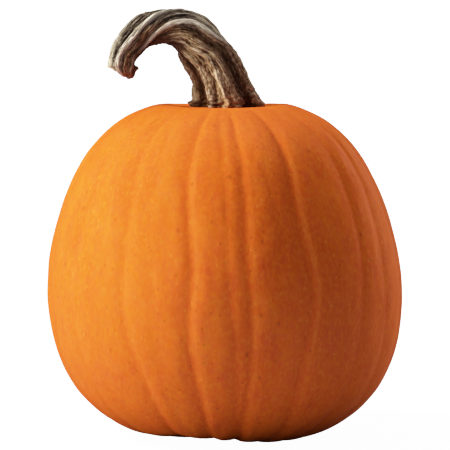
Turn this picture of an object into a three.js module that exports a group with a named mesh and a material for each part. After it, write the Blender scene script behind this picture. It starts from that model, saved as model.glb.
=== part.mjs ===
// A carving pumpkin as picked: the ribbed fruit, standing on its flat underside, and the dried,
// hooked stem that rises from the shallow dish in its crown. Millimetres, +Z up, front towards -Y.
// Both pieces start as turned blanks (LatheGeometry); a formula then presses in the furrows of the
// fruit, and ribs, twists and bends the stem. The origin is under the middle of the fruit, on the
// surface that it stands on.
//
// Angles are in degrees round the upright axis, from the front (-Y) towards the right (+X).
// Heights on the fruit are given by "climb": -1 at the foot of its axis, 0 at its middle, +1 on top.
import * as THREE from "three";

const { clamp, degToRad, lerp, smoothstep } = THREE.MathUtils;

// ---- driving dimensions ----

const body = {
  radius: 134.1, // at the middle, over the ribs
  halfHeight: 132.5, // of the rounded form, before its underside is flattened
  middle: 126.6, // height of the middle over the ground
  shape: [-0.102, 0.132, 0.022, 0.193], // fuller shoulders: factors of climb, climb^2, ^3 and ^4
  sway: [-0.9, -2.2, 1.5], // sideways drift of the axis: constant, times climb, times climb^2
  thickness: 0.975, // front to back, as a share of its width
};

// Furrows between the ribs: where they cross the middle, how far they drift round with the climb
// and its square, how far they waver and from which climb (degrees), how deep they are (mm), and
// what share of that is left low down.
const furrows = [
  { at: -57, lean: 0, bow: 7, waver: 1, waverFrom: 0.2, deep: 0.7, low: 1.2 },
  { at: -33.5, lean: -5.5, bow: 3, waver: 0.9, waverFrom: 0.1, deep: 1.2, low: 1.2 },
  { at: -23, lean: -6, bow: 0, waver: 0.6, waverFrom: 0.5, deep: 0.5, low: 0.5 },
  { at: -11, lean: -2, bow: -0.5, waver: 0.9, waverFrom: -0.1, deep: 1.7, low: 1 },
  { at: 1.8, lean: -3, bow: 0, waver: 0.3, waverFrom: 0.3, deep: 0.9, low: 1.2 },
  { at: 8, lean: 0, bow: -2, waver: 0.3, waverFrom: 0.4, deep: 1.5, low: 1 },
  { at: 28, lean: 0.5, bow: -4, waver: 1.2, waverFrom: -0.28, deep: 2.3, low: 0.7 },
  { at: 50, lean: 4, bow: -1, waver: 0.3, waverFrom: 0, deep: 1.5, low: 0.9 },
  { at: 63, lean: 2, bow: 1, waver: 0.6, waverFrom: 0.3, deep: 1.1, low: 0.8 },
  { at: 79, lean: 1, bow: 2, waver: 0.7, waverFrom: -0.2, deep: 1.3, low: 0.8 },
  { at: 97, lean: 3, bow: -2, waver: 1, waverFrom: 0.1, deep: 1.7, low: 0.7 },
  { at: 117, lean: 1, bow: -3, waver: 0.8, waverFrom: 0.4, deep: 1.8, low: 0.5 },
  { at: 139, lean: -2, bow: 2, waver: 1.1, waverFrom: -0.3, deep: 1.4, low: 0.9 },
  { at: 158, lean: -3, bow: 3, waver: 0.5, waverFrom: 0, deep: 2, low: 0.6 },
  { at: 178, lean: 2, bow: -1, waver: 0.9, waverFrom: 0.3, deep: 1.3, low: 1 },
  { at: 201, lean: 4, bow: 2, waver: 0.6, waverFrom: -0.1, deep: 1.9, low: 0.7 },
  { at: 219, lean: 2, bow: 3, waver: 1, waverFrom: 0.5, deep: 1.2, low: 0.9 },
  { at: 241, lean: -2, bow: -3, waver: 0.8, waverFrom: 0.2, deep: 1.7, low: 0.6 },
  { at: 262, lean: -4, bow: 2, waver: 0.5, waverFrom: -0.4, deep: 1.3, low: 1 },
  { at: 284, lean: -2, bow: 3, waver: 0.9, waverFrom: 0.1, deep: 1.2, low: 1.1 },
];
const furrowForm = {
  leftWidth: 7, // how fast a furrow's left side dies away, at the widest part of the fruit
  rightWidth: 4, // the same at its right side, which is steeper
  narrowing: 0.6, // power of the radius by which both narrow towards the ends
  rounding: 1.6, // half-width of its rounded bottom
  waverPace: 7, // radians of waver over one unit of climb
  lowFrom: -0.1, // climb below which the low share comes in
  lowTo: -0.75,
  stemFade: 90, // they start between the seat and this radius round the stem
  scarFades: [14, 40], // and end between these radii round the scar
};

const crown = {
  height: 250.4, // of the flat seat under the stem
  seatRadius: 30.5, // of that seat
  dishRadius: 58, // where the dish round the seat has gone
  saddle: 3.2, // how much lower the crown is at front and back than at its sides
};

const underside = {
  rounding: 3, // height over which the side rolls into the flat spot
  pressed: 1.3, // how far the ribs are squashed there, so that furrows still part the flats
  scarRadius: 24, // dimple at the blossom end
  scarDepth: 7,
  scarFloor: 5,
  liftedSide: -27, // the ribs round this side curve up clear of the ground
  liftedWidth: 52,
  lift: 6,
  liftInner: 45, // full lift inside this radius, none outside the next
  liftOuter: 88,
  cleftSide: -29, // within that, a shallow cleft runs out between two ribs
  cleftWidth: 12,
  cleft: 4,
  cleftRadii: [20, 50, 95], // where it starts, is deepest and ends
};

const stem = {
  gap: 0.3, // clearance over the seat
  // centre line from the seat up: x, y, height over the seat, and the radius over its ridges
  line: [
    [0, 0, 0, 29.8],
    [0, 0, 4.8, 26.8],
    [-2, 0.4, 12.3, 24.1],
    [-6, 1.4, 24.8, 22.3],
    [-14.6, 2, 39.3, 20.7],
    [-25.7, 1, 54, 17.9],
    [-44, -1, 60.4, 13.7],
    [-62, -3, 56.4, 12.9],
    [-74, -5, 43.8, 11.8],
    [-76.4, -6, 33.8, 11.6],
  ],
  // ridges, which are the stalk's veins: angle at hand height, and height as a share of the groove
  ridges: [
    [0, 1],
    [14, 0.7],
    [67, 0.95],
    [98, 0.35],
    [130, 1],
    [165, 0.5],
    [200, 0.9],
    [240, 0.5],
    [285, 0.9],
    [333, 0.8],
  ],
  fullValley: 36, // degrees between two ridges from which the valley between them is full
  // The ridges wind round the stem, fastest over its bend, and back near the end. Turns are in
  // degrees; "along" runs from 0 at the foot to 1 at the end of the line.
  twists: [
    { from: 0, to: 0.3, turn: -5 },
    { from: 0.42, to: 0.56, turn: -28 },
    { from: 0.56, to: 0.84, turn: -92 },
    { from: 0.86, to: 1, turn: 16 },
  ],
  footTurn: 5, // what the first of these turns starts from
  groove: 0.15, // depth of the valleys, as a share of the radius
  footGroove: 0.27, // the same where the ridges spread into root feet
  footEnd: 0.16, // how far along the feet reach
  uprightEnd: 0.3, // the rows near the foot stay level up to here
  // swellings: where, how far round and along they spread, and how far they stand out
  swellings: [
    { angle: -84, spread: 22, along: 0.115, length: 0.055, reach: 6.2 }, // a stub foot
    { angle: -88, spread: 25, along: 0.22, length: 0.1, reach: 1.5 }, // the shank over it
    { angle: 86, spread: 30, along: 0.06, length: 0.08, reach: 4 }, // the foot across from it
    { angle: -44, spread: 6, along: 0.16, length: 0.14, reach: -2.2 }, // a split between feet
    { angle: -90, spread: 40, along: 0.36, length: 0.06, reach: -0.9 }, // the throat of the bend
    { angle: 90, spread: 50, along: 0.53, length: 0.07, reach: -0.9 }, // its back is flatter here
    { angle: 90, spread: 40, along: 0.72, length: 0.05, reach: 0.8 }, // and fuller here
    { angle: -88, spread: 34, along: 1, length: 0.055, reach: -4.2 }, // a nick in the end
    { angle: -84, spread: 30, along: 1.17, length: 0.08, reach: 1.2 }, // the end curls out here
  ],
  flap: { angle: 84, spread: 45, from: 0.86, reach: 1.2 },
};

// The torn end goes on past the line: a blunt core, and beside it a lip of skin that is broken
// off square. "Past" runs from 0 at the end of the line to 1 at the middle of the core.
const tornEnd = {
  length: 10.5,
  bluntness: 0.6, // power of the cosine by which it closes
  shift: -3.6, // the core stands this far off the line, away from the lip
  shiftFrom: 0.3,
  shiftTo: 0.9,
  lip: { angle: 96, spread: 46, length: 7, brokenAt: 0.32, coreFrom: 0.78, coreTo: 0.96 },
};

const fruitMesh = { columnStep: 4.1, rows: 44, poleGathering: 0.4 };
const stemMesh = { columnsPerRidge: 5, rows: 46, capRows: 7 };

const fruitFinish = { color: 0xe8791c, roughness: 0.45, metalness: 0 };
const stemFinish = { color: 0x6b5a4a, roughness: 0.9, metalness: 0 };

// ---- fruit ----

const FULL_TURN = 360;

function gauss(x) {
  return Math.exp(-x * x);
}

function turnBetween(a, b) {
  const turn = (a - b) % FULL_TURN;
  if (turn > FULL_TURN / 2) return turn - FULL_TURN;
  if (turn < -FULL_TURN / 2) return turn + FULL_TURN;
  return turn;
}

function bodyRadius(tilt) {
  const climb = Math.sin(tilt);
  const [a, b, c, d] = body.shape;
  return body.radius * Math.cos(tilt) * (1 + climb * (a + climb * (b + climb * (c + climb * d))));
}

function bodyHeight(tilt) {
  return body.middle + body.halfHeight * Math.sin(tilt);
}

function furrowAngle(furrow, climb) {
  const waver = furrow.waver * Math.sin(furrowForm.waverPace * (climb - furrow.waverFrom));
  return furrow.at + climb * (furrow.lean + climb * furrow.bow) + waver;
}

// How far the furrows press the skin in at one point.
function furrowDepth(angle, climb, radius) {
  const form = furrowForm;
  const narrowed = clamp(radius / body.radius, 0.1, 1) ** form.narrowing;
  const lowness = smoothstep(-climb, -form.lowFrom, -form.lowTo);
  let depth = 0;
  for (const furrow of furrows) {
    const arc = radius * degToRad(turnBetween(angle, furrowAngle(furrow, climb)));
    const width = (arc > 0 ? form.rightWidth : form.leftWidth) * narrowed;
    const away = Math.hypot(arc, form.rounding) - form.rounding;
    depth += furrow.deep * lerp(1, furrow.low, lowness) * Math.exp(-away / width);
  }
  const nearStem = climb > 0 ? smoothstep(radius, crown.seatRadius, form.stemFade) : 1;
  const nearScar = climb < 0 ? smoothstep(radius, ...form.scarFades) : 1;
  return depth * nearStem * nearScar;
}

// The crown sinks into a dish with a flat seat, and sags a little at front and back.
function crownHeight(height, angle, climb, radius) {
  if (climb < 0) return height;
  const sag = crown.saddle * Math.cos(degToRad(angle)) ** 2 * smoothstep(climb, 0.6, 0.97);
  return lerp(crown.height, height - sag, smoothstep(radius, crown.seatRadius, crown.dishRadius));
}

// The underside rolls into a flat spot; one side of it is lifted clear of the ground.
function undersideHeight(height, angle, climb, radius) {
  if (climb > 0) return height;
  const round = underside.rounding;
  const offSide = turnBetween(angle, underside.liftedSide) / underside.liftedWidth;
  const offCleft = turnBetween(angle, underside.cleftSide) / underside.cleftWidth;
  const inside = 1 - smoothstep(radius, underside.liftInner, underside.liftOuter);
  const [from, deepest, to] = underside.cleftRadii;
  const insideCleft = smoothstep(radius, from, deepest) - smoothstep(radius, deepest, to);
  const lift = underside.lift * gauss(offSide) * inside;
  const lifted = height + lift + underside.cleft * gauss(offCleft) * insideCleft;
  const pressed = underside.pressed * smoothstep(-climb, 0.6, 0.95);
  if (lifted > round) return lifted - pressed;
  return Math.max(lifted + round, 0) ** 2 / (4 * round) - pressed;
}

function scarHeight(radius) {
  return underside.scarDepth * (1 - smoothstep(radius, underside.scarFloor, underside.scarRadius));
}

function fruitPoint(tilt, angle, target) {
  const climb = Math.sin(tilt);
  const radius = bodyRadius(tilt);
  const step = 1e-3;
  const outwards = bodyHeight(tilt + step) - bodyHeight(tilt - step);
  const upwards = bodyRadius(tilt - step) - bodyRadius(tilt + step);
  const slope = Math.hypot(outwards, upwards);
  const depth = furrowDepth(angle, climb, radius);
  const r = Math.max(radius - (depth * outwards) / slope, 0);
  let z = crownHeight(bodyHeight(tilt), angle, climb, radius);
  z = undersideHeight(z, angle, climb, radius) - (depth * upwards) / slope;
  if (climb < 0) z = Math.max(z, 0) + scarHeight(radius);
  const [drift, driftClimb, driftSquare] = body.sway;
  const sway = drift + climb * (driftClimb + climb * driftSquare);
  const turn = degToRad(angle);
  return target.set(r * Math.sin(turn) + sway, -r * Math.cos(turn) * body.thickness, z);
}

// Columns run along the furrows: each rib between two furrows has its own even share of them.
function ribColumns() {
  const columns = [];
  furrows.forEach((furrow, i) => {
    const next = furrows[(i + 1) % furrows.length];
    const width = (next.at - furrow.at + FULL_TURN) % FULL_TURN;
    const count = Math.max(2, Math.round(width / fruitMesh.columnStep));
    for (let k = 0; k < count; k += 1) columns.push({ furrow, next, share: k / count });
  });
  return columns;
}

function columnAngle({ furrow, next, share }, climb) {
  const start = furrowAngle(furrow, climb);
  const width = (furrowAngle(next, climb) - start + FULL_TURN) % FULL_TURN;
  return start + width * share;
}

function makeFruit() {
  const columns = ribColumns();
  const tilts = [];
  for (let row = 0; row <= fruitMesh.rows; row += 1) {
    const level = (2 * row) / fruitMesh.rows - 1;
    const gathered = Math.sin((level * Math.PI) / 2);
    tilts.push((lerp(level, gathered, fruitMesh.poleGathering) * Math.PI) / 2);
  }
  const outline = tilts.map(
    (tilt) => new THREE.Vector2(Math.max(bodyRadius(tilt), 0), bodyHeight(tilt)),
  );
  const geometry = new THREE.LatheGeometry(outline, columns.length);
  const points = geometry.attributes.position;
  const point = new THREE.Vector3();
  for (let i = 0; i < points.count; i += 1) {
    const tilt = tilts[i % tilts.length];
    const column = columns[Math.floor(i / tilts.length) % columns.length];
    fruitPoint(tilt, columnAngle(column, Math.sin(tilt)), point);
    points.setXYZ(i, point.x, point.y, point.z);
  }
  const mesh = new THREE.Mesh(geometry, new THREE.MeshStandardMaterial(fruitFinish));
  mesh.name = "fruit";
  return mesh;
}

// ---- stem ----

const stemPath = new THREE.CatmullRomCurve3(
  stem.line.map(([x, y, z]) => new THREE.Vector3(x, y, z)),
  false,
  "catmullrom",
);
const stemGirth = new THREE.SplineCurve(stem.line.map(([, , z, r]) => new THREE.Vector2(z, r)));

function ridgeTwist(along) {
  let turn = stem.footTurn;
  for (const twist of stem.twists) turn += twist.turn * smoothstep(along, twist.from, twist.to);
  return turn;
}

function ridgeAngle(index) {
  const turns = Math.floor(index / stem.ridges.length);
  return stem.ridges[index % stem.ridges.length][0] + FULL_TURN * turns;
}

// Height of the ridging, from 0 in a full valley to 1 on a main ridge, a share of the way to the
// next ridge. Where two ridges stand close together, the valley between them is shallow.
function ridgeHeight(index, share) {
  const here = stem.ridges[index % stem.ridges.length][1];
  const next = stem.ridges[(index + 1) % stem.ridges.length][1];
  const crest = lerp(here, next, share);
  const spacing = ridgeAngle(index + 1) - ridgeAngle(index);
  const floor = crest * (1 - Math.min(spacing / stem.fullValley, 1));
  return lerp(floor, crest, 0.5 + 0.5 * Math.cos(2 * Math.PI * share));
}

function swelling(at, station) {
  const { flap } = stem;
  const inFlap = gauss(turnBetween(at, flap.angle) / flap.spread);
  let reach = flap.reach * inFlap * smoothstep(station, flap.from, 1);
  for (const bulge of stem.swellings) {
    const round = gauss(turnBetween(at, bulge.angle) / bulge.spread);
    reach += bulge.reach * round * gauss((station - bulge.along) / bulge.length);
  }
  return reach;
}

// How far past the end of the centre line the torn end reaches.
function endLength(at, past) {
  const { lip, length } = tornEnd;
  const core = length * Math.sin((past * Math.PI) / 2);
  const broken = lip.length * smoothstep(past, 0, lip.brokenAt);
  const rest = (length - lip.length) * smoothstep(past, lip.coreFrom, lip.coreTo);
  return lerp(core, broken + rest, gauss(turnBetween(at, lip.angle) / lip.spread));
}

function stemFrame(along) {
  const centre = stemPath.getPoint(along);
  const lean = smoothstep(along, 0, stem.uprightEnd);
  const tangent = stemPath.getTangent(along).multiplyScalar(lean);
  tangent.z += 1 - lean;
  tangent.normalize();
  const outer = new THREE.Vector3(tangent.z, 0, -tangent.x).normalize();
  const front = new THREE.Vector3().crossVectors(outer, tangent).normalize();
  return { centre, tangent, outer, front };
}

function stemPoint(station, index, share, target) {
  const along = Math.min(station, 1);
  const past = station - along;
  const { centre, tangent, outer, front } = stemFrame(along);
  const angle = lerp(ridgeAngle(index), ridgeAngle(index + 1), share) + ridgeTwist(along);
  const groove = lerp(stem.footGroove, stem.groove, smoothstep(along, 0, stem.footEnd));
  const ribbed = 1 - groove * (1 - ridgeHeight(index, share));
  const closing = Math.max(Math.cos((past * Math.PI) / 2), 0) ** tornEnd.bluntness;
  const radius = (stemGirth.getPoint(along).y * ribbed + swelling(angle, station)) * closing;
  const shift = tornEnd.shift * smoothstep(past, tornEnd.shiftFrom, tornEnd.shiftTo);
  const turn = degToRad(angle);
  target.copy(centre);
  target.addScaledVector(front, radius * Math.cos(turn));
  target.addScaledVector(outer, radius * Math.sin(turn) + shift);
  return target.addScaledVector(tangent, endLength(angle, past));
}

// Stations run from 0 at the foot to 1 at the end of the centre line, and to 2 at the torn tip.
function makeStem() {
  const stations = [];
  for (let row = 0; row <= stemMesh.rows; row += 1) stations.push((row / stemMesh.rows) ** 1.15);
  for (let row = 1; row <= stemMesh.capRows; row += 1) stations.push(1 + row / stemMesh.capRows);
  const blank = stations.map((station) => new THREE.Vector2(station < 2 ? 1 : 0, station));
  blank.unshift(new THREE.Vector2(0, 0));
  const ridgeCount = stem.ridges.length;
  const geometry = new THREE.LatheGeometry(blank, ridgeCount * stemMesh.columnsPerRidge);
  const points = geometry.attributes.position;
  const point = new THREE.Vector3();
  for (let i = 0; i < points.count; i += 1) {
    const row = i % blank.length;
    const column = Math.floor(i / blank.length) % (ridgeCount * stemMesh.columnsPerRidge);
    const index = Math.floor(column / stemMesh.columnsPerRidge);
    const share = (column % stemMesh.columnsPerRidge) / stemMesh.columnsPerRidge;
    if (row === 0) point.copy(stemPath.getPoint(0));
    else stemPoint(stations[row - 1], index, share, point);
    points.setXYZ(i, point.x, point.y, point.z);
  }
  const mesh = new THREE.Mesh(geometry, new THREE.MeshStandardMaterial(stemFinish));
  mesh.name = "stem";
  mesh.position.z = crown.height + stem.gap;
  return mesh;
}

// ---- assembly ----

const pumpkin = new THREE.Group();
const fruit = makeFruit();
pumpkin.add(fruit, makeStem());

fruit.geometry.computeBoundingBox();
const middle = fruit.geometry.boundingBox.getCenter(new THREE.Vector3());
pumpkin.position.set(-middle.x, -middle.y, 0);

export default pumpkin;
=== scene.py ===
# %% [markdown]
# # A carving pumpkin with its dried stem
#
# A pumpkin is one swollen berry: a thick orange rind over hollow flesh, pulled into ribs by the
# veins that run from the stem to the blossom end. When it is cut from the vine, a piece of the
# stalk stays on as a handle, and dries to a hard, ridged, twisted grip of cork.
#
# The part has both pieces as plain solids. This script gives each of them a denser skin with the
# relief that a hand would feel, and then the rind's wax and the cork's fibres.

import math

import bmesh
import bpy
import numpy as np
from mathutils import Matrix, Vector, noise


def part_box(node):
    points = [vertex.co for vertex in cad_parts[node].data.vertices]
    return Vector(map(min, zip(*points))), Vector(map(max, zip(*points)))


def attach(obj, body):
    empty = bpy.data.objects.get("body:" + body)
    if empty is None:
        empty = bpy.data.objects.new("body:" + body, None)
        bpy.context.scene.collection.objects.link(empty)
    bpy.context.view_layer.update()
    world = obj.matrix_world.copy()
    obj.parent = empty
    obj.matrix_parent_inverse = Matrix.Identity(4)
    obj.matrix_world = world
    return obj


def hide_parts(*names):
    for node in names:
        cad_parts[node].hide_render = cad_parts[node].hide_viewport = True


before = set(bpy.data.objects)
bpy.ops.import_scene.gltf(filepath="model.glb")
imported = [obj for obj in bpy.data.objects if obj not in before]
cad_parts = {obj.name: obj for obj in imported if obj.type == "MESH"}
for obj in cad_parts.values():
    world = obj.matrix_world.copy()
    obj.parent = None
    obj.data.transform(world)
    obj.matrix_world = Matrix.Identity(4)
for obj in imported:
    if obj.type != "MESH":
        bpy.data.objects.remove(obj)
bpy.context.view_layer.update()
MM = 0.001
print("solids:", sorted(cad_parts))

# %% [markdown]
# ## Camera
# A product shot of a pumpkin is taken from about two metres with a long lens, so that its ribs
# stay parallel, and from a little above the table. A shorter lens would swell the middle ribs.
# The camera is placed by the point it looks at, its distance and its height angle.

# %% Place the camera
AIM = Vector((0.26, 0, 160.3)) * MM
CAMERA_DISTANCE = 2200 * MM
LOOKING_DOWN = math.radians(5)
VIEW_WIDTH = 342.2 * MM  # how much of the world the picture takes in, at the pumpkin

lens = bpy.data.cameras.new("long_lens")
lens.sensor_width = 36
lens.lens = lens.sensor_width * CAMERA_DISTANCE / VIEW_WIDTH
lens.clip_end = 200
camera = bpy.data.objects.new("camera", lens)
bpy.context.scene.collection.objects.link(camera)
back = Vector((0, -math.cos(LOOKING_DOWN), math.sin(LOOKING_DOWN)))
camera.location = AIM + back * CAMERA_DISTANCE
camera.rotation_euler = (math.pi / 2 - LOOKING_DOWN, 0, 0)
bpy.context.scene.camera = camera
print("lens:", round(lens.lens, 1), "mm")

# %% [markdown]
# ## The fruit's form
# The real form is a sphere that grew: it is fuller at the shoulders, pressed flat where it lay,
# and drawn in along about twenty veins. One could sculpt it, or cut furrows into a ball with
# curves. A formula is used here instead, because it puts each furrow exactly where the solid has
# it. Angles run in degrees from the front towards the right, `climb` runs from -1 at the foot of
# the axis over 0 at the middle to +1 at the top, and all lengths are in millimetres.

# %% The fruit's named sizes
BODY_RADIUS, BODY_HALF_HEIGHT, BODY_MIDDLE = 134.1, 132.5, 126.6
BODY_SHAPE = (-0.102, 0.132, 0.022, 0.193)  # fuller shoulders: factors of climb to its 4th power
BODY_SWAY = (-0.9, -2.2, 1.5)  # sideways drift of the axis: factors of 1, climb, climb squared
BODY_THICKNESS = 0.975  # front to back, as a share of its width
CROWN_HEIGHT, SEAT_RADIUS, DISH_RADIUS = 250.4, 30.5, 58  # the flat seat and dish at the stem
CROWN_SADDLE = 3.2  # how much lower the dish's rim is at front and back than at the sides
PRESSED, EDGE_ROLL = 1.3, 3  # how far the ribs are squashed underneath, and how soft the edge is
LIFTED_SIDE, LIFTED_WIDTH, LIFT, LIFT_RADII = -27, 52, 6, (45, 88)  # ribs that clear the ground
CLEFT_SIDE, CLEFT_WIDTH, CLEFT, CLEFT_RADII = -29, 12, 4, (20, 50, 95)  # a hollow among those
SCAR_DEPTH, SCAR_FLOOR, SCAR_RADIUS = 7, 5, 24  # the blossom end
print("fruit, as drawn:", 2 * BODY_RADIUS, "mm wide,", CROWN_HEIGHT, "mm to the stem's seat")

# %% [markdown]
# Each furrow is a row: its angle at the middle, how much it leans and bows as it climbs, how far
# it wavers and from where, its depth, and the share of that depth that is left low down. Old
# veins are deep, young ones between them shallow, and no two are alike.

# %% The furrows
FURROWS = np.array([
    (-57, 0, 7, 1, 0.2, 0.7, 1.2), (-33.5, -5.5, 3, 0.9, 0.1, 1.2, 1.2),
    (-23, -6, 0, 0.6, 0.5, 0.5, 0.5), (-11, -2, -0.5, 0.9, -0.1, 1.7, 1),
    (1.8, -3, 0, 0.3, 0.3, 0.9, 1.2), (8, 0, -2, 0.3, 0.4, 1.5, 1),
    (28, 0.5, -4, 1.2, -0.28, 2.3, 0.7), (50, 4, -1, 0.3, 0, 1.5, 0.9),
    (63, 2, 1, 0.6, 0.3, 1.1, 0.8), (79, 1, 2, 0.7, -0.2, 1.3, 0.8),
    (97, 3, -2, 1, 0.1, 1.7, 0.7), (117, 1, -3, 0.8, 0.4, 1.8, 0.5),
    (139, -2, 2, 1.1, -0.3, 1.4, 0.9), (158, -3, 3, 0.5, 0, 2, 0.6),
    (178, 2, -1, 0.9, 0.3, 1.3, 1), (201, 4, 2, 0.6, -0.1, 1.9, 0.7),
    (219, 2, 3, 1, 0.5, 1.2, 0.9), (241, -2, -3, 0.8, 0.2, 1.7, 0.6),
    (262, -4, 2, 0.5, -0.4, 1.3, 1), (284, -2, 3, 0.9, 0.1, 1.2, 1.1),
])
WAVER_PACE = 7  # radians of waver over one unit of climb
LEFT_WIDTH, RIGHT_WIDTH = 7, 4  # a furrow's right bank is the steeper one
FURROW_ROUNDING = 1.6  # half width of its rounded bottom
NARROWING = 0.6  # power of the radius by which furrows narrow towards both ends
LOW_CLIMBS = (0.1, 0.75)  # below the middle, between which the depth goes over to its low share
FADE_RADII = {"crown": (SEAT_RADIUS, 90), "foot": (14, 40)}  # furrows die out inside these
print(len(FURROWS), "furrows, up to", FURROWS[:, 5].max(), "mm deep")


# %% Small curves that every form uses
def smooth(x, low, high):
    t = np.clip((x - low) / (high - low), 0, 1)
    return t * t * (3 - 2 * t)


def bump_curve(x):
    return np.exp(-x * x)


def turn_between(a, b):
    return (a - b + 180) % 360 - 180


def blend(a, b, share):
    return a + (b - a) * share


# %% How deep the rind is drawn in at a point
def furrow_angle(start, lean, bow, waver, waver_from, climb):
    wave = waver * np.sin(WAVER_PACE * (climb - waver_from))
    return start + climb * (lean + climb * bow) + wave


def arc_from(row, angle, climb, radius):
    return radius * np.radians(turn_between(angle, furrow_angle(*row[:5], climb)))


def furrow_depth(angle, climb, radius):
    narrowed = np.clip(radius / BODY_RADIUS, 0.1, 1) ** NARROWING
    lowness = smooth(-climb, *LOW_CLIMBS)
    depth = np.zeros_like(angle)
    for row in FURROWS:
        arc = arc_from(row, angle, climb, radius)
        width = np.where(arc > 0, RIGHT_WIDTH, LEFT_WIDTH) * narrowed
        away = np.hypot(arc, FURROW_ROUNDING) - FURROW_ROUNDING
        depth += row[5] * blend(1, row[6], lowness) * np.exp(-away / width)
    depth *= np.where(climb > 0, smooth(radius, *FADE_RADII["crown"]), 1)
    return depth * np.where(climb < 0, smooth(radius, *FADE_RADII["foot"]), 1)


# %% Profile, crown and underside
def body_radius(tilt):
    climb = np.sin(tilt)
    a, b, c, d = BODY_SHAPE
    return BODY_RADIUS * np.cos(tilt) * (1 + climb * (a + climb * (b + climb * (c + climb * d))))


def crown_height(height, angle, climb, radius):
    sag = CROWN_SADDLE * np.cos(np.radians(angle)) ** 2 * smooth(climb, 0.6, 0.97)
    dished = blend(CROWN_HEIGHT, height - sag, smooth(radius, SEAT_RADIUS, DISH_RADIUS))
    return np.where(climb < 0, height, dished)


def underside_height(height, angle, climb, radius):
    near = bump_curve(turn_between(angle, LIFTED_SIDE) / LIFTED_WIDTH)
    near_cleft = bump_curve(turn_between(angle, CLEFT_SIDE) / CLEFT_WIDTH)
    start, deepest, end = CLEFT_RADII
    lifted = height + LIFT * near * (1 - smooth(radius, *LIFT_RADII))
    lifted += CLEFT * near_cleft * (smooth(radius, start, deepest) - smooth(radius, deepest, end))
    rolled = np.maximum(lifted + EDGE_ROLL, 0) ** 2 / (4 * EDGE_ROLL)
    pressed = PRESSED * smooth(-climb, 0.6, 0.95)
    low = np.where(lifted > EDGE_ROLL, lifted, rolled) - pressed
    return np.where(climb > 0, height, low)


# %% A point of the rind, from its tilt over the middle and its angle round the axis
def rind_points(tilt, angle):
    climb, radius = np.sin(tilt), body_radius(tilt)
    height = BODY_MIDDLE + BODY_HALF_HEIGHT * climb
    step = 1e-3
    outwards = BODY_HALF_HEIGHT * (np.sin(tilt + step) - np.sin(tilt - step))
    upwards = body_radius(tilt - step) - body_radius(tilt + step)
    slope = np.hypot(outwards, upwards)
    depth = furrow_depth(angle, climb, radius)
    r = np.maximum(radius - depth * outwards / slope, 0)
    z = underside_height(crown_height(height, angle, climb, radius), angle, climb, radius)
    z = z - depth * upwards / slope
    scar = SCAR_DEPTH * (1 - smooth(radius, SCAR_FLOOR, SCAR_RADIUS))
    z = np.where(climb < 0, np.maximum(z, 0) + scar, z)
    drift = BODY_SWAY[0] + climb * (BODY_SWAY[1] + climb * BODY_SWAY[2])
    turn = np.radians(angle)
    return np.stack([r * np.sin(turn) + drift, -r * np.cos(turn) * BODY_THICKNESS, z], 1), depth


# %% [markdown]
# ## From a ball to a fruit
# The blank is a ball: a grid wrapped round and welded along its seam and at its poles, so that its
# columns run from pole to pole as the ribs do. (`create_uvsphere` makes the same ball, but slowly
# when it has this many faces.)

# %% A ball of columns and rows
def ball_blank(name, columns, rows):
    bm = bmesh.new()
    bmesh.ops.create_grid(bm, x_segments=columns, y_segments=rows, size=1)
    for vertex in bm.verts:
        turn, tilt = math.pi * vertex.co.x, math.pi / 2 * vertex.co.y
        ring = math.cos(tilt) if abs(vertex.co.y) < 0.9999 else 0
        vertex.co = (ring * math.sin(turn), -ring * math.cos(turn), math.sin(tilt))
    bmesh.ops.remove_doubles(bm, verts=bm.verts, dist=1e-5)
    bmesh.ops.recalc_face_normals(bm, faces=bm.faces)
    mesh = bpy.data.meshes.new(name)
    bm.to_mesh(mesh)
    bm.free()
    points = np.zeros(len(mesh.vertices) * 3)
    mesh.vertices.foreach_get("co", points)
    return mesh, points.reshape(-1, 3)


RIND_COLUMNS, RIND_ROWS = 384, 230
rind_mesh, blank = ball_blank("rind", RIND_COLUMNS, RIND_ROWS)
print("ball of", len(blank), "points")

# %% [markdown]
# The column nearest to each furrow is slid onto it and follows it up and down, so that an edge
# draws the furrow's bottom. The columns between two furrows share the space between them.

# %% Slide the columns onto the furrows
tilt = np.arcsin(np.clip(blank[:, 2], -1, 1))
climb = np.sin(tilt)
column = np.degrees(np.arctan2(blank[:, 0], -blank[:, 1]))
nearest = np.round(FURROWS[:, 0] * RIND_COLUMNS / 360) * 360 / RIND_COLUMNS
start = np.interp(column, nearest, FURROWS[:, 0] - nearest, period=360) + column
path = [np.interp(start, FURROWS[:, 0], FURROWS[:, i], period=360) for i in (1, 2, 3, 4)]
angle = furrow_angle(start, *path, climb)
points, depth = rind_points(tilt, angle)
low_corner, high_corner = (np.array(corner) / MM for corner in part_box("fruit"))
centring = ((low_corner + high_corner) / 2 - (points.max(0) + points.min(0)) / 2)[:2]
points[:, :2] += centring
print("moved over the origin by", np.round(centring, 2), "mm")


# %% [markdown]
# A rind is never as smooth as a formula. Low lumps, longer along a rib than across it, break up
# the light on it. They are noise, sampled once for each point and pushed out along its normal.

# %% Lumps under the skin
def noise_at(points, size, seed=0):
    shift = Vector((17.3, 5.1, 9.7)) * seed
    return np.array([noise.noise(Vector(p) / size + shift) for p in points.tolist()])


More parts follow.
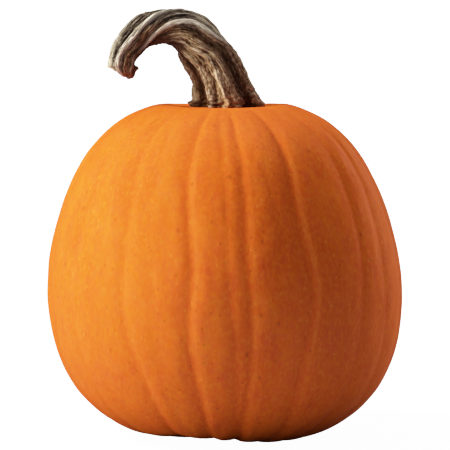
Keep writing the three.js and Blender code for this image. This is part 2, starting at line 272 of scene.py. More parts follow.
LUMPS = ((0.4, 13), (0.2, 7))  # height and size of each kind
LONG_RIBWISE = (1, 1, 0.45)  # squeezes space, so that what is drawn in it comes out longer
OUTSET = 0.15  # lifts the skin clear of the solid's flat facets
rib_flow = np.stack([np.sin(np.radians(start)), -np.cos(np.radians(start)), tilt], 1)
rib_flow *= BODY_RADIUS
stretched = rib_flow * LONG_RIBWISE
lumps = sum(high * noise_at(stretched, size, seed) for seed, (high, size) in enumerate(LUMPS))
lumps *= smooth(np.cos(tilt), 0.25, 0.5)  # none at the poles, where the columns crowd
rind_mesh.vertices.foreach_set("co", points.ravel())
rind_mesh.update()
normals = np.zeros(points.size)
rind_mesh.vertex_normals.foreach_get("vector", normals)
points += normals.reshape(-1, 3) * (lumps + OUTSET)[:, None]
points[:, 2] = np.maximum(points[:, 2], 0)
print("lumps from", round(lumps.min(), 2), "to", round(lumps.max(), 2), "mm")


# %% [markdown]
# The finish needs to know where the furrows, their right banks and the scar are: each right bank
# gets a painted highlight, where the light from the left would catch it. Such values are kept on
# the points as attributes, which a material can read by name.

# %% Keep what the finish needs, and place the fruit
def store(mesh, name, values):
    kind, field = ("FLOAT_VECTOR", "vector") if values.ndim == 2 else ("FLOAT", "value")
    layer = mesh.attributes.new(name, kind, "POINT")
    layer.data.foreach_set(field, values.astype(np.float32).ravel())


def place_piece(mesh, points, node_name, name):
    mesh.vertices.foreach_set("co", (points * MM).ravel())
    mesh.update()
    mesh.shade_smooth()
    piece = bpy.data.objects.new(name, mesh)
    bpy.context.scene.collection.objects.link(piece)
    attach(piece, "root")
    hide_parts(node_name)
    triangles = sum(len(polygon.vertices) - 2 for polygon in mesh.polygons)
    print(name, np.round(points.max(0) - points.min(0), 1), "mm,", triangles, "triangles")
    return piece


# a painted highlight along the right bank of each furrow, where the light from the left would catch
# it
BANK_HIGHLIGHT_AT, BANK_HIGHLIGHT_WIDTH = 3.8, 2.6  # to the right of a furrow
CORK_RADIUS, CORK_FRAY = 9, 2  # the blossom end's cork, and how uneven its edge is
painted_bank_highlight = np.zeros_like(angle)
for row in FURROWS:
    left = row[5] * blend(1, row[6] ** 2, smooth(-climb, *LOW_CLIMBS))
    painted_bank_highlight += left * bump_curve((arc_from(row, angle, climb, body_radius(tilt)) - BANK_HIGHLIGHT_AT) / BANK_HIGHLIGHT_WIDTH)
painted_bank_highlight *= smooth(np.cos(tilt), 0.5, 0.8)
cork_edge = CORK_RADIUS + CORK_FRAY * noise_at(stretched, 6, 2)
corky = 1 - smooth(body_radius(tilt), cork_edge - CORK_FRAY, cork_edge + CORK_FRAY)
scar = np.where(climb < 0, corky, 0)
for name, values in (("furrow", depth), ("painted_bank_highlight", painted_bank_highlight), ("scar", scar), ("rib_flow", rib_flow)):
    store(rind_mesh, name, values)
fruit = place_piece(rind_mesh, points, "fruit", "pumpkin_rind")

# %% [markdown]
# ## The stem
# The handle is the vine's stalk: ten veins stand out as ridges, root-like feet grip the rind, and
# the whole twists as it bends over towards its torn end. A curve with a bevel would give the
# bend, but not ridges that turn at their own pace. So the blank is a ball again, whose rows
# become stations on a centre line and whose columns belong to the ridges.

# %% The stem's named sizes
# centre line from the seat up: x, y, height over the seat, and the radius over the ridges
STEM_LINE = np.array([
    (0, 0, 0, 29.8), (0, 0, 4.8, 26.8), (-2, 0.4, 12.3, 24.1), (-6, 1.4, 24.8, 22.3),
    (-14.6, 2, 39.3, 20.7), (-25.7, 1, 54, 17.9), (-44, -1, 60.4, 13.7), (-62, -3, 56.4, 12.9),
    (-74, -5, 43.8, 11.8), (-76.4, -6, 33.8, 11.6),
])
STEM_RUN = 128  # length along the bend
STEM_GAP, STEM_SINK = 0.3, 0.8  # clearance of the solid over the seat; the skin reaches below it
VALLEY, FOOT_VALLEY, FOOT_END = 0.15, 0.27, 0.16  # depths are shares of the radius
FULL_VALLEY = 36  # degrees between two veins from which the valley between them is full
# the veins that stand out: angle at hand height, and how high each one is
RIDGES = np.array([
    (0, 1), (14, 0.7), (67, 0.95), (98, 0.35), (130, 1),
    (165, 0.5), (200, 0.9), (240, 0.5), (285, 0.9), (333, 0.8),
])
print(len(RIDGES), "ridges on a stem", 2 * STEM_LINE[3, 3], "mm thick at hand height")


# %% A smooth line through named points
def on_line(line, along):
    ends = np.vstack([2 * line[0] - line[1], line, 2 * line[-1] - line[-2]])
    run = np.clip(along, 0, 1) * (len(line) - 1)
    i = np.minimum(run.astype(int), len(line) - 2)
    t = (run - i)[:, None]
    a, b, c, d = ends[i], ends[i + 1], ends[i + 2], ends[i + 3]
    into, out = (c - a) / 2, (d - b) / 2
    return b + t * (into + t * (3 * (c - b) - 2 * into - out + t * (2 * (b - c) + into + out)))


# %% How the veins turn, and how they stand out
def vein_twist(along):
    trunk = 5 * (1 - smooth(along, 0, 0.3)) - 28 * smooth(along, 0.42, 0.56)
    return trunk - 92 * smooth(along, 0.56, 0.84) + 16 * smooth(along, 0.86, 1)


def vein_angle(index):
    return RIDGES[index % len(RIDGES), 0] + 360 * (index // len(RIDGES))


def vein_height_at(place):
    index = np.floor(place).astype(int)
    share = place - index
    spacing = vein_angle(index + 1) - vein_angle(index)
    here, after = RIDGES[index % len(RIDGES), 1], RIDGES[(index + 1) % len(RIDGES), 1]
    crest = blend(here, after, share)
    floor = crest * (1 - np.minimum(spacing / FULL_VALLEY, 1))
    return blend(floor, crest, 0.5 + 0.5 * np.cos(2 * np.pi * share))


# %% [markdown]
# `along` runs from 0 at the feet to 1 at the end of the bend, and `past` from 0 to 1 over the
# torn end. `flow` lays the stem's surface out flat, with its fibres along z, so that every
# pattern on it can be stretched along the fibres.

# %% Rows become stations, columns become veins
STEM_COLUMNS, STEM_ROWS, FOOT_ROWS, CAP_ROWS = 380, 250, 6, 34
FOOT_CROWDING = 1.15  # power that crowds the rows a little towards the feet
FOOT_STATIONS = (0.03, 0.26)  # where the feet begin and have run out into the stem
FLAT_RADIUS, CAP_RUN = 20, 11  # of the surface laid out flat: its radius, and the torn end's run
stem_mesh, blank = ball_blank("stem", STEM_COLUMNS, STEM_ROWS)
row = STEM_ROWS * (1 - np.arccos(np.clip(blank[:, 2], -1, 1)) / np.pi)
rise = np.clip((row - FOOT_ROWS) / (STEM_ROWS - FOOT_ROWS - CAP_ROWS), 0, 1)
along = rise ** FOOT_CROWDING
past = np.clip((row - (STEM_ROWS - CAP_ROWS)) / CAP_ROWS, 0, 1)
station = along + past
spoke = np.clip(row / FOOT_ROWS, 0, 1)
place = (np.degrees(np.arctan2(blank[:, 0], -blank[:, 1])) % 360) * len(RIDGES) / 360
index = np.floor(place).astype(int)
vein = blend(vein_angle(index), vein_angle(index + 1), place - index)
vein_around = np.stack([np.cos(np.radians(vein)), np.sin(np.radians(vein))], 1)
flow = np.column_stack([FLAT_RADIUS * vein_around, STEM_RUN * along + CAP_RUN * past])
foot = 1 - smooth(along, *FOOT_STATIONS)
wobble = 3.5 * foot * noise_at(flow * (1, 1, 1.3), 8, 8) + 1.5 * noise_at(flow * (1, 1, 0.6), 9, 9)
turn = vein + vein_twist(along) + wobble
print(len(blank), "points; the veins wander by up to", round(abs(wobble).max(), 1), "degrees")

# %% Which way the stem points at each station
line = on_line(STEM_LINE, along)
ahead = on_line(STEM_LINE[:, :3], along + 1e-3) - on_line(STEM_LINE[:, :3], along - 1e-3)
ahead /= np.linalg.norm(ahead, axis=1)[:, None]
lean = smooth(along, 0, 0.3)[:, None]
ahead = ahead * lean + np.array([0, 0, 1]) * (1 - lean)
ahead /= np.linalg.norm(ahead, axis=1)[:, None]
outer = np.stack([ahead[:, 2], np.zeros(len(ahead)), -ahead[:, 0]], 1)
outer /= np.linalg.norm(outer, axis=1)[:, None]
front = np.cross(outer, ahead)
print("its end points down by", round(math.degrees(math.asin(-ahead[:, 2].min()))), "degrees")

# %% [markdown]
# As the stalk dried, its soft tissue shrank between the fibres. It left cords three to five
# millimetres apart, finer fibres and cracks along them, pits, and knobs on the feet. A sculpting
# brush could draw them one by one. Here each is its own noise, stretched along the fibres by its
# own amount, and together they are the relief that a thumb would feel.

# %% Cords, fibres, cracks, pits and knobs
CORD, FIBRE, GRAIN, KNOB = 0.4, 0.6, 0.6, 1.8  # how far each stands out
CRACK, PIT = -0.65, -0.8  # how far each goes in
CRACK_WIDTH = 0.05  # as a share of the noise: cracks are where that one passes through zero
CORDS_ROUND, CORD_WANDER = 26, 3.2  # how many, and how many radians each wanders
FULL_GIRTH = 22  # radius at which the relief is full: it is finer where the stem is thin
girth = line[:, 3]
stretched = flow * (1, 1, 0.22)
waviness = noise_at(flow * (1, 1, 0.5), 9, 6)
strength = smooth(noise_at(stretched, 5, 7), -0.4, 0.3)
cord = np.cos(np.radians(vein) * CORDS_ROUND + CORD_WANDER * waviness) * strength
fibre = noise_at(stretched, 1.5, 2)
crack = bump_curve(noise_at(flow * (1, 1, 0.25), 3.6, 3) / CRACK_WIDTH)
grain = noise_at(flow * (1, 1, 0.6), 1.4, 4)
pit = smooth(noise_at(flow * (1, 1, 0.55), 2.3, 10), 0.28, 0.5)
knob = noise_at(flow, 5.0, 5)
relief = CORD * cord + FIBRE * fibre + CRACK * crack + GRAIN * grain + PIT * pit
relief = relief * blend(0.65, 1, girth / FULL_GIRTH) + KNOB * foot * knob
relief *= np.cos(past * np.pi / 2)
print("relief from", round(relief.min(), 1), "to", round(relief.max(), 1), "mm")

# %% [markdown]
# Where a stalk was bent, knocked or pulled, it has knuckles, nicks and splits. Each is a round
# swelling of its own height, or a hollow where that is negative, at a turn round the stem (+90 is
# the outside of the bend) and at a station along it.

# %% Knuckles, nicks and splits
SWELLINGS = (  # height, turn and its width, station and its width
    (6.2, -84, 22, 0.115, 0.055), (1.5, -88, 25, 0.22, 0.1),  # the left foot and its neck
    (4, 86, 30, 0.06, 0.08), (-4.5, -57, 8, 0.12, 0.035),  # the right foot; beside the left one
    (1.2, -84, 30, 1.17, 0.08), (-4.2, -88, 34, 1.0, 0.055),  # the end curls out past a nick
    (-0.9, 90, 50, 0.53, 0.07), (-0.9, -90, 40, 0.36, 0.06),  # flatter back, narrower throat
    (0.8, 90, 40, 0.72, 0.05),  # fuller beyond the bend
    (-2.2, -44, 6, 0.16, 0.14), (-1.5, -17, 4, 0.1, 0.1),  # splits between the feet
)
END_SWELLING, OUTSIDE = 1.2, 84  # the outside of the bend thickens towards the torn end
swelling = END_SWELLING * bump_curve(turn_between(turn, OUTSIDE) / 45) * smooth(along, 0.86, 1)
for height, at_turn, turn_width, at_station, station_width in SWELLINGS:
    near = bump_curve(turn_between(turn, at_turn) / turn_width)
    swelling += height * near * bump_curve((station - at_station) / station_width)
print("swellings from", round(swelling.min(), 1), "to", round(swelling.max(), 1), "mm")

# %% [markdown]
# The end was torn off and not cut. A lip at the outside of the bend came away later than the
# rest, so the wood behind it lies open in a slanting face with ragged fibres.

# %% The torn end
LIP_TURN, LIP_WIDTH, LIP_REACH, LIP_STEP = 96, 46, 7, 3.5
DOME_REACH, RAGGED_FIBRE, RAGGED_GRAIN = 10.5, 1.6, 0.9
BLUNTNESS = 0.6  # power of the cap's round: lower is blunter
END_SHIFT = -3.6  # the tip lies to the inside of the bend
lip = bump_curve(turn_between(turn, LIP_TURN) / LIP_WIDTH)
lip_length = LIP_REACH * smooth(past, 0, 0.32) + LIP_STEP * smooth(past, 0.78, 0.96)
end_length = blend(DOME_REACH * np.sin(past * np.pi / 2), lip_length, lip)
ragged = RAGGED_FIBRE * fibre + RAGGED_GRAIN * grain
end_length += ragged * smooth(past, 0.15, 0.6)
end_share = np.cos(past * np.pi / 2) ** BLUNTNESS
end_shift = END_SHIFT * smooth(past, 0.3, 0.9)
print("the end reaches", round(end_length.max(), 1), "mm past the last station")

# %% Shape the stem
groove = blend(FOOT_VALLEY, VALLEY, smooth(along, 0, FOOT_END))
vein_height = vein_height_at(place)
radius = (girth * (1 - groove * (1 - vein_height)) + swelling + relief) * spoke * end_share
points = line[:, :3] + front * (radius * np.cos(np.radians(turn)))[:, None]
points += outer * (radius * np.sin(np.radians(turn)) + end_shift)[:, None]
points += ahead * end_length[:, None]
points[:, 2] += CROWN_HEIGHT + STEM_GAP - STEM_SINK * (1 - smooth(along, 0, 0.02))
points[:, :2] += centring
print("stem's top:", round(points[:, 2].max(), 1), "mm over the table")


# %% [markdown]
# Sun and rain have bleached the top of the bend to grey, with cream along its sharpest ridges.
# The underside of the bend, the left of the trunk, two deep valleys and the feet are darker: this
# is painted shade, with some dark bark in the valleys. The feet are tan where they were green
# last. These are shares from 0 to 1 that the finish will read. Bleaching and most hollows keep to
# one vein, so they are placed by its angle at hand height, whatever its twist.

# %% Where the stem is weathered, bleached, darkened by painted shade, tan and torn
def near_vein(angle, width):
    return bump_curve(turn_between(vein, angle) / width)


outer_side = np.sin(np.radians(turn))
weathered = smooth(along, 0.47, 0.62) * smooth(outer_side, -0.15, 0.4)

bleached = 1.3 * near_vein(131, 10) * smooth(along, 0.6, 0.7)
bleached += near_vein(67, 7) * smooth(along, 0.4, 0.5) * (1 - smooth(along, 0.72, 0.9))
bleached += 0.9 * near_vein(99, 14) * smooth(along, 0.4, 0.45) * (1 - smooth(along, 0.54, 0.62))
bleached += 0.9 * smooth(along, 0.8, 0.95) * smooth(outer_side, 0.75, 0.97)

# painted shade, partly dark bark: two deep valleys, the split between the feet and the left of the
# trunk
hollow_shade_and_bark = 0.75 * near_vein(36, 16) + 1.1 * near_vein(-47, 9)
hollow_shade_and_bark += 0.7 * bump_curve(turn_between(turn, -17) / 4) * (1 - smooth(along, 0.15, 0.3))
hollow_shade_and_bark += 0.5 * smooth(-outer_side, 0.3, 0.85)
# painted shade under the bend, weaker towards the tip
painted_shade_and_bark = smooth(-outer_side, 0.15, 0.8) * smooth(along, 0.45, 0.6)
painted_shade_and_bark *= 1 - 0.35 * smooth(along, 0.82, 1)
painted_shade_and_bark = np.maximum(painted_shade_and_bark, hollow_shade_and_bark * (1 - smooth(along, 0.4, 0.55)))
# more painted shade on the feet, in patches
painted_shade_and_bark += 0.25 * foot ** 2 + 0.5 * foot * smooth(noise_at(flow, 7, 11), 0, 0.3)
painted_shade_and_bark = np.clip(painted_shade_and_bark, 0, 1)

tan = 0.8 * foot * bump_curve(turn_between(turn, 8) / 14) + 0.5 * bump_curve(past / 0.3 - 3)
torn = lip * smooth(past + 0.12 * knob, 0.06, 0.16)
STEM_STORES = {
    "flow": flow, "vein_height": vein_height, "relief": relief, "weathered": weathered,
    "bleached": bleached, "torn": torn, "painted_shade_and_bark": painted_shade_and_bark, "tan": tan,
}
for name, values in STEM_STORES.items():
    store(stem_mesh, name, values)
stem = place_piece(stem_mesh, points, "stem", "dried_stem")


# %% [markdown]
# ## Materials
# One small function adds a node, sets what is given to it and links its sockets. A colour is
# written as the hex value that one would read off a screen, and turned to linear light there.

# %% Add a node
def linear(hex_colour):
    values = [int(hex_colour[i:i + 2], 16) / 255 for i in (1, 3, 5)]
    return [v / 12.92 if v <= 0.04045 else ((v + 0.055) / 1.055) ** 2.4 for v in values] + [1]


def add_node(tree, kind, inputs=None, **settings):
    node = tree.nodes.new("ShaderNode" + kind)
    for name, value in settings.items():
        setattr(node, name, value)
    for key, value in (inputs or {}).items():
        if isinstance(value, bpy.types.NodeSocket):
            tree.links.new(value, node.inputs[key])
        else:
            node.inputs[key].default_value = linear(value) if isinstance(value, str) else value
    return node


def empty_tree(owner):
    owner.use_nodes = True
    owner.node_tree.nodes.clear()
    return owner.node_tree


def new_material(name, piece):
    material = bpy.data.materials.new(name)
    piece.data.materials.clear()
    piece.data.materials.append(material)
    return empty_tree(material)


# %% [markdown]
# ## Rind: living skin under natural wax
# The skin is a tight layer of cells, coloured through by carotene, under a wax that the plant
# sweats out. The wax makes it satin: a broad, weak sheen and no mirror image. So the shader is a
# plain dielectric of middle roughness with little gloss. The colour isn't one orange: it
# drifts over centimetres with the sun it had, is yellower where the wax is thick and redder in
# the furrows, and is full of pores. An image could give that, but noise in layers also covers
# the sides that nobody has seen, and stays sharp from near by.

# %% Where the rind's patterns lie
tree = new_material("waxy_pumpkin_rind", fruit)
flat_ribs = add_node(tree, "Attribute", attribute_name="rib_flow").outputs["Vector"]
rib_scale = (1, 1, 0.4)  # longer along a rib
along_ribs = add_node(tree, "Mapping", {"Vector": flat_ribs, "Scale": rib_scale}).outputs["Vector"]
metres = add_node(tree, "TexCoord").outputs["Object"]
skin_scale = (1 / MM, 1 / MM, 0.65 / MM)  # to millimetres, and longer upwards
on_skin = add_node(tree, "Mapping", {"Vector": metres, "Scale": skin_scale}).outputs["Vector"]
print("patterns lie along the ribs, or on the skin in millimetres")

# %% [markdown]
# Every noise is given as a row: where it lies, its size in millimetres, its detail and roughness,
# and the range of it that is spread from 0 up to the strength in the last column. Real pores and
# cells are a tenth of a millimetre, too fine to show, so the grain is drawn 2.6 mm coarse.

# %% Noise for the rind
RIND_NOISE = {
    "patches": (along_ribs, 11, 3, 0.5, 0.3, 0.7, 1),
    "blush": (on_skin, 17, 2, 0.5, 0.35, 0.65, 1),
    "ripening": (on_skin, 45, 2, 0.6, 0.38, 0.7, 0.5),
    "yellowing": (on_skin, 4.5, 4, 0.75, 0.35, 0.65, 1),
    "grain": (on_skin, 2.6, 2, 0.5, 0.4, 1.3, 1),
    "clusters": (on_skin, 12, 2, 0.5, 0.35, 0.65, 1),
    "cork_cells": (on_skin, 1.2, 3, 0.5, 0.35, 0.65, 1),
}
share = {}
for name, (where, size, detail, roughness, low, high, most) in RIND_NOISE.items():
    inputs = {"Vector": where, "Scale": 1 / size, "Detail": detail, "Roughness": roughness}
    texture = add_node(tree, "TexNoise", inputs)
    limits = {"Value": texture.outputs["Fac"], "From Min": low, "From Max": high, "To Max": most}
    share[name] = add_node(tree, "MapRange", limits).outputs["Result"]
print(len(share), "patterns of noise")

# %% Furrows, the banks' painted highlight and scar, read from the points
for name, low, high, most in (("furrow", 0.4, 2.2, 1), ("painted_bank_highlight", 0.9, 2.3, 0.3), ("scar", 0, 1, 1)):
    value = add_node(tree, "Attribute", attribute_name=name).outputs["Fac"]
    limits = {"Value": value, "From Min": low, "From Max": high, "To Max": most}
    share[name] = add_node(tree, "MapRange", limits).outputs["Result"]
print("and what is stored on the points:", list(share)[-3:])

# %% [markdown]
# Three broad patches are painted light and shade: a paler front on the side that faces the light
# from the left, and a darker, redder shoulder and side on the side in shade. Each is a soft round
# of so many millimetres about a point on the skin (whose height is on the pattern's longer scale).

# %% Broad patches of painted light and shade
BROAD_PATCHES = {
    # a painted pool of light at the lit front, then painted shade on the shoulder and the side
    "painted_lit_front": ((-72, -105, 79), 62, 0.65),
    "painted_shade_shoulder": ((38, -118, 108), 46, 0.42),
    "painted_shade_side": ((74, -100, 72), 60, 0.45),
}
for name, (middle, reach, most) in BROAD_PATCHES.items():
    apart = add_node(tree, "VectorMath", {0: on_skin, 1: middle}, operation="DISTANCE")
    limits = {"Value": apart.outputs["Value"], "From Min": reach, "From Max": 0, "To Max": most}
    inside = add_node(tree, "MapRange", limits, interpolation_type="SMOOTHSTEP")
    share[name] = inside.outputs["Result"]
print(len(BROAD_PATCHES), "broad patches")

# %% [markdown]
# Pores show as pale flecks and dark dots, and where a grain of soil has rubbed there is a small
# scab. Each kind takes the middles of Voronoi cells, in only some of the cells: a cell's random
# red decides which.

# %% Pale flecks, dark dots and scabs
SPOTS = {  # spacing and radius in mm, share of the cells that have one, strength, gathered where
    "flecks": (3.6, 0.75, 0.5, 0.4, share["clusters"]),
    "dots": (5.5, 0.65, 0.55, 0.42, 1),
    "scabs": (12, 1.2, 0.4, 0.35, 1),
}
for name, (spacing, spot_radius, chance, most, gathered) in SPOTS.items():
    cells = add_node(tree, "TexVoronoi", {"Vector": on_skin, "Scale": 1 / spacing})
    edge, core = 1.4 * spot_radius / spacing, 0.6 * spot_radius / spacing
    limits = {"Value": cells.outputs["Distance"], "From Min": edge, "From Max": core, "To Max": most}
    near = add_node(tree, "MapRange", limits).outputs["Result"]
    drawn = add_node(tree, "SeparateColor", {"Color": cells.outputs["Color"]}).outputs["Red"]
    chosen = add_node(tree, "Math", {0: drawn, 1: chance}, operation="LESS_THAN").outputs[0]
    spot = add_node(tree, "Math", {0: near, 1: chosen}, operation="MULTIPLY").outputs[0]
    share[name] = add_node(tree, "Math", {0: spot, 1: gathered}, operation="MULTIPLY").outputs[0]
print(len(SPOTS), "kinds of spots")

# %% Lay the colours over each other
# the Mix node has sockets for every kind of data: for colours they are 0, 6 and 7, and 2 comes out
cork_inputs = {0: share["cork_cells"], 6: "#5c4026", 7: "#a5875f"}
cork = add_node(tree, "Mix", cork_inputs, data_type="RGBA").outputs[2]
# the lit front, the shaded shoulder and side, and the banks' highlight are painted light and shade
RIND_LAYERS = (
    ("patches", "MIX", "#F0722A"), ("blush", "MIX", "#E96826"), ("ripening", "MIX", "#D9561C"),
    ("painted_lit_front", "MIX", "#F57329"), ("painted_shade_shoulder", "MIX", "#C24A1C"),
    ("painted_shade_side", "MIX", "#C24A1C"), ("yellowing", "MULTIPLY", "#FFFDA8"),
    ("furrow", "MIX", "#DF5C1C"), ("painted_bank_highlight", "MIX", "#F8893A"), ("grain", "MIX", "#F08523"),
    ("flecks", "MIX", "#F59A3C"), ("dots", "MIX", "#8A3206"), ("scabs", "MIX", "#8A3206"),
    ("scar", "MIX", cork),
)
skin = "#DD582A"
for name, mode, over in RIND_LAYERS:
    inputs = {0: share[name], 6: skin, 7: over}
    skin = add_node(tree, "Mix", inputs, data_type="RGBA", blend_type=mode).outputs[2]
print(len(RIND_LAYERS), "layers of colour")

# %% The wax over it
inputs = {"Vector": along_ribs, "Scale": 1 / 3.4, "Detail": 2, "Roughness": 0.6}
dimples = add_node(tree, "TexNoise", inputs).outputs["Fac"]
bump = add_node(tree, "Bump", {"Height": dimples, "Distance": 0.12 * MM, "Strength": 1})
wax = add_node(tree, "BsdfPrincipled", {
    "Base Color": skin,
    "Roughness": 0.5,
    "IOR": 1.45,
    "Specular IOR Level": 0.12,
    "Normal": bump.outputs["Normal"],
})
add_node(tree, "OutputMaterial", {"Surface": wax.outputs["BSDF"]})
print("the rind's material has", len(tree.nodes), "nodes")

# %% [markdown]
# ## Dried stalk: cork and bare fibre
# A dried stalk is dead cork over wood fibres: dull, dry and porous, so it is rough and hardly
# glossy. Its colour follows its height: crests are rubbed pale, hollows hold bark and dust. So
# one height, made of the veins, the relief and two finer noises, runs through a colour ramp. A
# ramp for each kind of weather, and a dark one for painted shade, from dark hollow to pale crest,
# is laid over the last by the shares stored above. Real fibres are 0.3 mm apart, too fine to show,
# and are drawn at 1.3 mm.

# %% What the stalk's points and its fibres say
tree = new_material("dried_corky_stalk", stem)
stalk = {}
for name in ("vein_height", "relief", "weathered", "painted_shade_and_bark", "bleached", "tan", "torn"):
    stalk[name] = add_node(tree, "Attribute", attribute_name=name).outputs["Fac"]
along_stem = add_node(tree, "Attribute", attribute_name="flow").outputs["Vector"]
FIBRES = {  # how far space is squeezed along the stem, size, detail, roughness
    "speckle": (0.45, 4 / 3, 3, 0.75),
    "streaks": (0.1, 1.3, 2, 0.6),
}
for name, (squeeze, size, detail, roughness) in FIBRES.items():
    where = add_node(tree, "Mapping", {"Vector": along_stem, "Scale": (1, 1, squeeze)})
    inputs = {"Vector": where.outputs["Vector"], "Scale": 1 / size, "Detail": detail}
    stalk[name] = add_node(tree, "TexNoise", {**inputs, "Roughness": roughness}).outputs["Fac"]
print("the stalk's finish reads", list(stalk))

# %% The height that gives the stalk its tones
TONE_WEIGHTS = {"relief": 0.3, "speckle": 3.4, "streaks": 2.6}  # over the veins' own height
TONE_LIMITS = (2.35, 4.5)  # the height at the darkest and at the palest tone
height = stalk["vein_height"]
for name, weight in TONE_WEIGHTS.items():
    inputs = {0: stalk[name], 1: weight, 2: height}
    height = add_node(tree, "Math", inputs, operation="MULTIPLY_ADD").outputs[0]
limits = {"Value": height, "From Min": TONE_LIMITS[0], "From Max": TONE_LIMITS[1]}
tone = add_node(tree, "MapRange", limits).outputs["Result"]
print("the veins count 1, and over them", TONE_WEIGHTS)

# %% A ramp of tones for each kind of weather, and one for painted shade
STALK_RAMPS = {
    "bark": (tone, (0, "#200f04"), (0.3, "#573819"), (0.65, "#a68761"), (1, "#d8c2a4")),
    "weathered": (tone, (0, "#0e0b08"), (0.4, "#382e20"), (0.7, "#8a7a63"), (1, "#f3e8d8")),
    # the dark ramp below is painted shade, partly dark bark
    "painted_shade_and_bark": (tone, (0, "#180902"), (0.4, "#38210c"), (1, "#63452a")),
    "bleached": (tone, (0, "#6b583f"), (0.4, "#cfbb9c"), (1, "#faf1dc")),
    "torn": (stalk["speckle"], (0.33, "#7a5e3c"), (0.56, "#f2e3bf")),
}
colours = {"tan": "#a06a3c"}
for name, (source, (first, first_colour), *others) in STALK_RAMPS.items():
    ramp = add_node(tree, "ValToRGB", {"Fac": source})
    elements = ramp.color_ramp.elements
    elements.remove(elements[-1])
    elements[0].position, elements[0].color = first, linear(first_colour)
    for position, colour in others:
        elements.new(position).color = linear(colour)
    colours[name] = ramp.outputs["Color"]
print(len(STALK_RAMPS), "ramps of tones")

# %% Lay them over the bark, and finish the stalk
colour = colours["bark"]
# one of these layers is painted shade, partly dark bark
for name in ("weathered", "painted_shade_and_bark", "bleached", "tan", "torn"):
    inputs = {0: stalk[name], 6: colour, 7: colours[name]}
    colour = add_node(tree, "Mix", inputs, data_type="RGBA").outputs[2]
bump = add_node(tree, "Bump", {"Height": stalk["speckle"], "Distance": 0.8 * MM, "Strength": 1})
cork = add_node(tree, "BsdfPrincipled", {
    "Base Color": colour,
    "Roughness": 0.85,
    "Specular IOR Level": 0.25,
    "Normal": bump.outputs["Normal"],
})
add_node(tree, "OutputMaterial", {"Surface": cork.outputs["BSDF"]})
print("the stalk's material has", len(tree.nodes), "nodes")

# %% [markdown]
# ## Table
# A pale paper table runs so far back that its edge is out of the picture. The camera should see
# even paper, with hardly a shadow, while the pumpkin should only get the light that real paper
# would throw back. So the paper has two looks, and the Light Path node picks one by who asks. A
# dark card lies under the fruit, as a photographer puts one there to keep the lower edge crisp.
# The paper is one-sided, so that the underside can be looked at from below.

# %% Table
TABLE_RADIUS = 60  # metres
TABLE_SINK = 0.1 * MM  # keeps the paper from touching the flat spot
bm = bmesh.new()
bmesh.ops.create_circle(bm, cap_ends=True, segments=96, radius=TABLE_RADIUS)
bmesh.ops.translate(bm, verts=bm.verts, vec=(0, 0, -TABLE_SINK))
table_mesh = bpy.data.meshes.new("table")
bm.to_mesh(table_mesh)
bm.free()
table = bpy.data.objects.new("table", table_mesh)
bpy.context.scene.collection.objects.link(table)
table.visible_glossy = False
print("table:", 2 * TABLE_RADIUS, "m across")

# %% Paper, its glow and the dark card
PAPER_GLOW = 2.6
CARD_EDGE = (0.07, 0.15)  # metres from the middle, between which the card goes over to paper
CARD, PAPER = "#303030", "#9E9EAB"
tree = new_material("pale_paper_sweep", table)
shaded = add_node(tree, "BsdfDiffuse", {"Color": "#a0a0a0"})
glow = add_node(tree, "Emission", {"Color": "#ffffff", "Strength": PAPER_GLOW})
seen = add_node(tree, "AddShader", {0: shaded.outputs[0], 1: glow.outputs[0]})
on_table = add_node(tree, "TexCoord").outputs["Object"]
away = add_node(tree, "VectorMath", {0: on_table}, operation="LENGTH").outputs["Value"]
limits = {"Value": away, "From Min": CARD_EDGE[0], "From Max": CARD_EDGE[1]}
off_card = add_node(tree, "MapRange", limits).outputs["Result"]
tone = add_node(tree, "Mix", {0: off_card, 6: CARD, 7: PAPER}, data_type="RGBA").outputs[2]
bounce = add_node(tree, "BsdfDiffuse", {"Color": tone})
to_camera = add_node(tree, "LightPath").outputs["Is Camera Ray"]
paper = add_node(tree, "MixShader", {0: to_camera, 1: bounce.outputs[0], 2: seen.outputs[0]})
under = add_node(tree, "NewGeometry").outputs["Backfacing"]
clear = add_node(tree, "BsdfTransparent")
one_sided = add_node(tree, "MixShader", {0: under, 1: paper.outputs[0], 2: clear.outputs[0]})
add_node(tree, "OutputMaterial", {"Surface": one_sided.outputs[0]})
print("the paper's material has", len(tree.nodes), "nodes")


# %% [markdown]
# ## Light
# The light is a tall soft box at the left, a strip behind at the right that draws the edge, a
# card over the back and a weak fill at the front. Area lights could do it, but a sun with a wide
# disc is as soft and lights the fruit evenly from top to bottom, however large it is. The box is
# three suns over each other. None of them is to show in the wax as a disc: soft glows in the
# world stand in for their reflections.

# %% Lights
def add_sun(name, from_angle, height, strength, softness):
    light = bpy.data.lights.new(name, "SUN")
    light.energy = strength
    light.angle = math.radians(softness)
    sun = bpy.data.objects.new(name, light)
    bpy.context.scene.collection.objects.link(sun)
    a, e = math.radians(from_angle), math.radians(height)
    source = Vector((math.sin(a) * math.cos(e), -math.cos(a) * math.cos(e), math.sin(e)))
    sun.rotation_mode = "QUATERNION"
    sun.rotation_quaternion = source.to_track_quat("Z", "Y")
    sun.visible_glossy = False


SUNS = (  # name, degrees from the front, height in degrees, strength in pis, disc in degrees
    ("tall_box_low", -80, 5, 1.12, 25),
    ("tall_box_middle", -87, 35, 1.25, 25),
    ("tall_box_high", -90, 62, 0.5, 25),
    ("edge_strip", 136, 4, 1.42, 40),
    ("top_card", 155, 64, 0.3, 50),
    ("front_fill", -26, 5, 0.31, 50),
)
for name, from_angle, height, strength, softness in SUNS:
    add_sun(name, from_angle, height, strength * math.pi, softness)
print(len(SUNS), "suns")

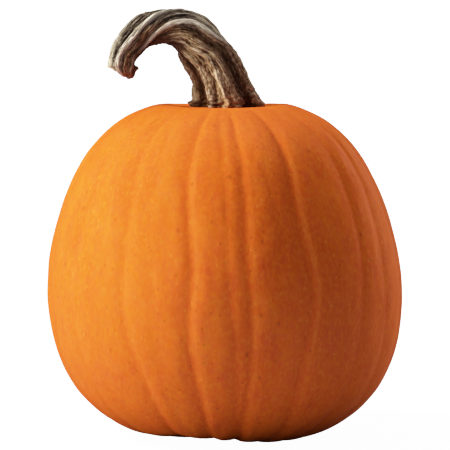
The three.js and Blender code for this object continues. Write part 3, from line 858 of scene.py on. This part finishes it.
# %% The room: white to the camera, dim to the fruit, and soft glows to its gloss
WHITE_LEVEL = 3  # scene value that comes out as paper white
ROOM_LIGHT = 0.02
GLOWS = (((-0.93, -0.2, 0.3), 0.3, 0.2), ((0.8, 0.6, 0), 0.6, 0.2))  # direction, edge, strength
world = bpy.data.worlds.new("studio")
bpy.context.scene.world = world
tree = empty_tree(world)
way = add_node(tree, "TexCoord").outputs["Generated"]
gloss = 0
for direction, edge, most in GLOWS:
    facing = add_node(tree, "VectorMath", {0: way, 1: direction}, operation="DOT_PRODUCT")
    limits = {"Value": facing.outputs["Value"], "From Min": edge, "From Max": 1, "To Max": most}
    near = add_node(tree, "MapRange", limits, interpolation_type="SMOOTHSTEP").outputs["Result"]
    gloss = add_node(tree, "Math", {0: near, 1: gloss}, operation="ADD").outputs[0]
ray = add_node(tree, "LightPath")
room = add_node(tree, "Background", {"Color": "#ffffff", "Strength": ROOM_LIGHT})
for kind_of_ray, strength in (("Is Glossy Ray", gloss), ("Is Camera Ray", WHITE_LEVEL)):
    other = add_node(tree, "Background", {"Color": "#ffffff", "Strength": strength})
    inputs = {0: ray.outputs[kind_of_ray], 1: room.outputs[0], 2: other.outputs[0]}
    room = add_node(tree, "MixShader", inputs)
add_node(tree, "OutputWorld", {"Surface": room.outputs[0]})
print(len(GLOWS), "glows in the world")

# %% [markdown]
# ## Camera response
# A camera doesn't clip the lit side of an orange fruit to flat yellow: its bright tones roll off
# softly, and its dark oranges come out a little redder. Two curves on the plain view transform do
# both: one over all channels, and one on green alone, which is applied before it.

# %% Curves of the camera
ALL_CURVE = ((0.3, 0.29), (0.6, 0.53), (1, 0.75), (1.5, 0.87), (2.1, 0.94))  # scene value, shown
GREEN_CURVE = ((0.01, 0.0091), (0.021, 0.0189), (0.045, 0.0446), (0.07, 0.07), (0.3, 0.3))
view = bpy.context.scene.view_settings
view.view_transform = "Standard"
view.use_curve_mapping = True
response = view.curve_mapping
response.white_level = (WHITE_LEVEL,) * 3
response.extend = "HORIZONTAL"
for brightness, shown in ALL_CURVE:
    response.curves[3].points.new(brightness / WHITE_LEVEL, shown)
for green, shown in GREEN_CURVE:
    response.curves[1].points.new(green, shown)
response.update()
print("paper white at a scene value of", WHITE_LEVEL)
